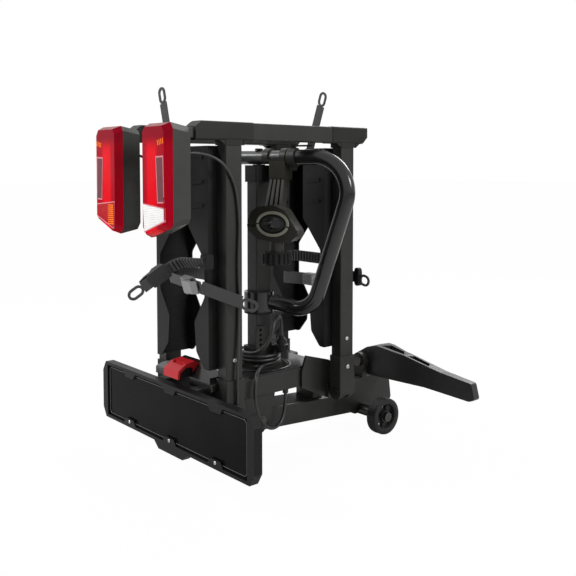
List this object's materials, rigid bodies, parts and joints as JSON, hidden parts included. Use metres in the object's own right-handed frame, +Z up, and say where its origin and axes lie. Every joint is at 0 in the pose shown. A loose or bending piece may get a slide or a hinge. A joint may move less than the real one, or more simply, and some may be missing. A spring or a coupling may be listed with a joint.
{
  "type": "tow_ball_bike_carrier",
  "caption": "Folding bicycle carrier for a car's tow ball, folded for storage: tilting platform, wings with wheel trays and rear lamps, swivelling hoop with a frame clamp, light cable and plug.",
  "frame": {"origin": "centre of the tow ball in the coupling", "axes": "+Z up, +Y to the car, number-plate board faces -Y, +X to the right seen from behind"},
  "size_m": [0.6395, 0.7317, 0.8179],
  "materials": {
    "steel_tube": "satin dark grey powder coat",
    "hoop_tube": "satin black lacquer",
    "deck_sheet": "gloss black lacquer",
    "bright_steel": "zinc plated",
    "bar_tube": "anodised grey",
    "cast_body": "cast and painted dark grey",
    "black_plastic": "grained black plastic",
    "grey_plastic": "grained dark grey plastic",
    "lever_plastic": "smooth dark plastic",
    "sheet_black": "plain black sheet",
    "red_plastic": "red moulded plastic",
    "lens_red": "clear red lens",
    "strap_rubber": "soft black strap",
    "buckle_plastic": "light grey moulded plastic",
    "liner_rubber": "soft grey liner",
    "wheel_plastic": "hard black plastic with a rubber tread",
    "cable_rubber": "black cable jacket"
  },
  "bodies": {
    "base": {"drawbar": "steel_tube", "coupling_housing": "cast_body", "wheel_axle": "bright_steel"},
    "jaw": {"ball_jaw": "bright_steel"},
    "lever": {"coupling_lever": "lever_plastic", "lever_shaft": "bright_steel"},
    "right_wheel": {"wheel_right": "wheel_plastic"},
    "left_wheel": {"wheel_left": "wheel_plastic"},
    "platform": {"side_rails": "steel_tube", "tilt_pin": "bright_steel", "crossmembers": "steel_tube", "deck": "deck_sheet", "column": "steel_tube", "column_base": "cast_body", "column_cap": "black_plastic", "column_bush": "black_plastic", "board_frame": "black_plastic", "board_sheet": "sheet_black", "pedal_housing": "grey_plastic", "hinge_pins": "bright_steel", "cable_lead": "cable_rubber", "cable_coil": "cable_rubber", "cable_plug_lead": "cable_rubber", "plug": "black_plastic"},
    "foot_pedal": {"pedal": "red_plastic"},
    "hoop_arm": {"hoop": "hoop_tube", "hoop_collar": "cast_body", "upper_bar": "bar_tube"},
    "quick_lever": {"collar_lever": "black_plastic"},
    "clamp": {"clamp_arm": "black_plastic", "clamp_liner_upper": "liner_rubber", "clamp_pin": "bright_steel"},
    "lower_jaw": {"clamp_jaw": "black_plastic", "clamp_liner_lower": "liner_rubber"},
    "knob": {"clamp_knob": "black_plastic"},
    "wing_right": {"feet_right": "cast_body", "posts_right": "steel_tube", "beam_right": "steel_tube", "beam_corners_right": "grey_plastic", "tray_rear_right": "black_plastic", "tray_front_right": "black_plastic", "lamp_housing_right": "black_plastic", "lamp_lens_right": "lens_red", "cable_wing_right": "cable_rubber", "straps_rear_right": "strap_rubber", "buckle_tooth_strap": "buckle_plastic", "buckle_loop_strap": "buckle_plastic"},
    "wing_left": {"feet_left": "cast_body", "posts_left": "steel_tube", "beam_left": "steel_tube", "beam_corners_left": "grey_plastic", "tray_rear_left": "black_plastic", "tray_front_left": "black_plastic", "lamp_housing_left": "black_plastic", "lamp_lens_left": "lens_red", "cable_wing_left": "cable_rubber", "strap_rear_left": "strap_rubber", "strap_front_left": "strap_rubber"},
    "tooth_buckle_lever": {"buckle_lever_tooth_strap": "buckle_plastic"},
    "loop_buckle_lever": {"buckle_lever_loop_strap": "buckle_plastic"}
  },
  "joints": [
    {"name": "platform_tilt", "type": "hinge", "parent": "base", "child": "platform", "pos_m": [0, -0.4, 0.028], "axis": [1, 0, 0], "range_deg": [0, 50]},
    {"name": "wing_right_fold", "type": "hinge", "parent": "platform", "child": "wing_right", "pos_m": [0.112, -0.3615, 0.071], "axis": [0, 1, 0], "range_deg": [0, 90]},
    {"name": "wing_left_fold", "type": "hinge", "parent": "platform", "child": "wing_left", "pos_m": [-0.112, -0.3615, 0.071], "axis": [0, -1, 0], "range_deg": [0, 90]},
    {"name": "pedal_press", "type": "hinge", "parent": "platform", "child": "foot_pedal", "pos_m": [0, -0.544, 0.156], "axis": [1, 0, 0], "range_deg": [0, 15], "stiffness_Nm_per_rad": 2, "springref_deg": -8.59},
    {"name": "lever_lift", "type": "hinge", "parent": "base", "child": "lever", "pos_m": [0.022, -0.015, 0.098], "axis": [0, -1, 0], "range_deg": [0, 88]},
    {"name": "jaw_slide", "type": "slide", "parent": "base", "child": "jaw", "axis": [0, -1, 0], "range_m": [0, 0.006]},
    {"name": "right_wheel_spin", "type": "hinge", "parent": "base", "child": "right_wheel", "pos_m": [0.113, -0.066, -0.017], "axis": [1, 0, 0], "continuous": true},
    {"name": "left_wheel_spin", "type": "hinge", "parent": "base", "child": "left_wheel", "pos_m": [-0.113, -0.066, -0.017], "axis": [1, 0, 0], "continuous": true},
    {"name": "hoop_swivel", "type": "hinge", "parent": "platform", "child": "hoop_arm", "pos_m": [0, -0.355, 0.6], "axis": [0, 0, 1], "range_deg": [-22, 0]},
    {"name": "quick_lever_turn", "type": "hinge", "parent": "hoop_arm", "child": "quick_lever", "pos_m": [0.07918, -0.32301, 0.6228], "axis": [0, 0, 1], "range_deg": [0, 70]},
    {"name": "clamp_swing", "type": "hinge", "parent": "hoop_arm", "child": "clamp", "pos_m": [0.04172, -0.33814, 0.6], "axis": [-0.9272, -0.3746, 0], "range_deg": [0, 5]},
    {"name": "clamp_open", "type": "hinge", "parent": "clamp", "child": "lower_jaw", "pos_m": [0.04715, -0.40497, 0.463], "axis": [-0.3746, 0.9272, 0], "range_deg": [0, 35]},
    {"name": "knob_turn", "type": "hinge", "parent": "lower_jaw", "child": "knob", "pos_m": [0.09722, -0.38475, 0.385], "axis": [0, 0, 1], "range_deg": [0, 1440]},
    {"name": "tooth_buckle_release", "type": "hinge", "parent": "wing_right", "child": "tooth_buckle_lever", "pos_m": [-0.00184, -0.61151, 0.36387], "axis": [0, 0.6, -0.8], "range_deg": [0, 60]},
    {"name": "loop_buckle_release", "type": "hinge", "parent": "wing_right", "child": "loop_buckle_lever", "pos_m": [0.04511, -0.58184, 0.34145], "axis": [0, 0.2873, -0.9578], "range_deg": [0, 60]}
  ],
  "couplings": [
    {"joint": "jaw_slide", "follows": "lever_lift", "m_per_rad": 0.0039},
    {"joint": "clamp_open", "follows": "knob_turn", "ratio": 0.024306}
  ]
}
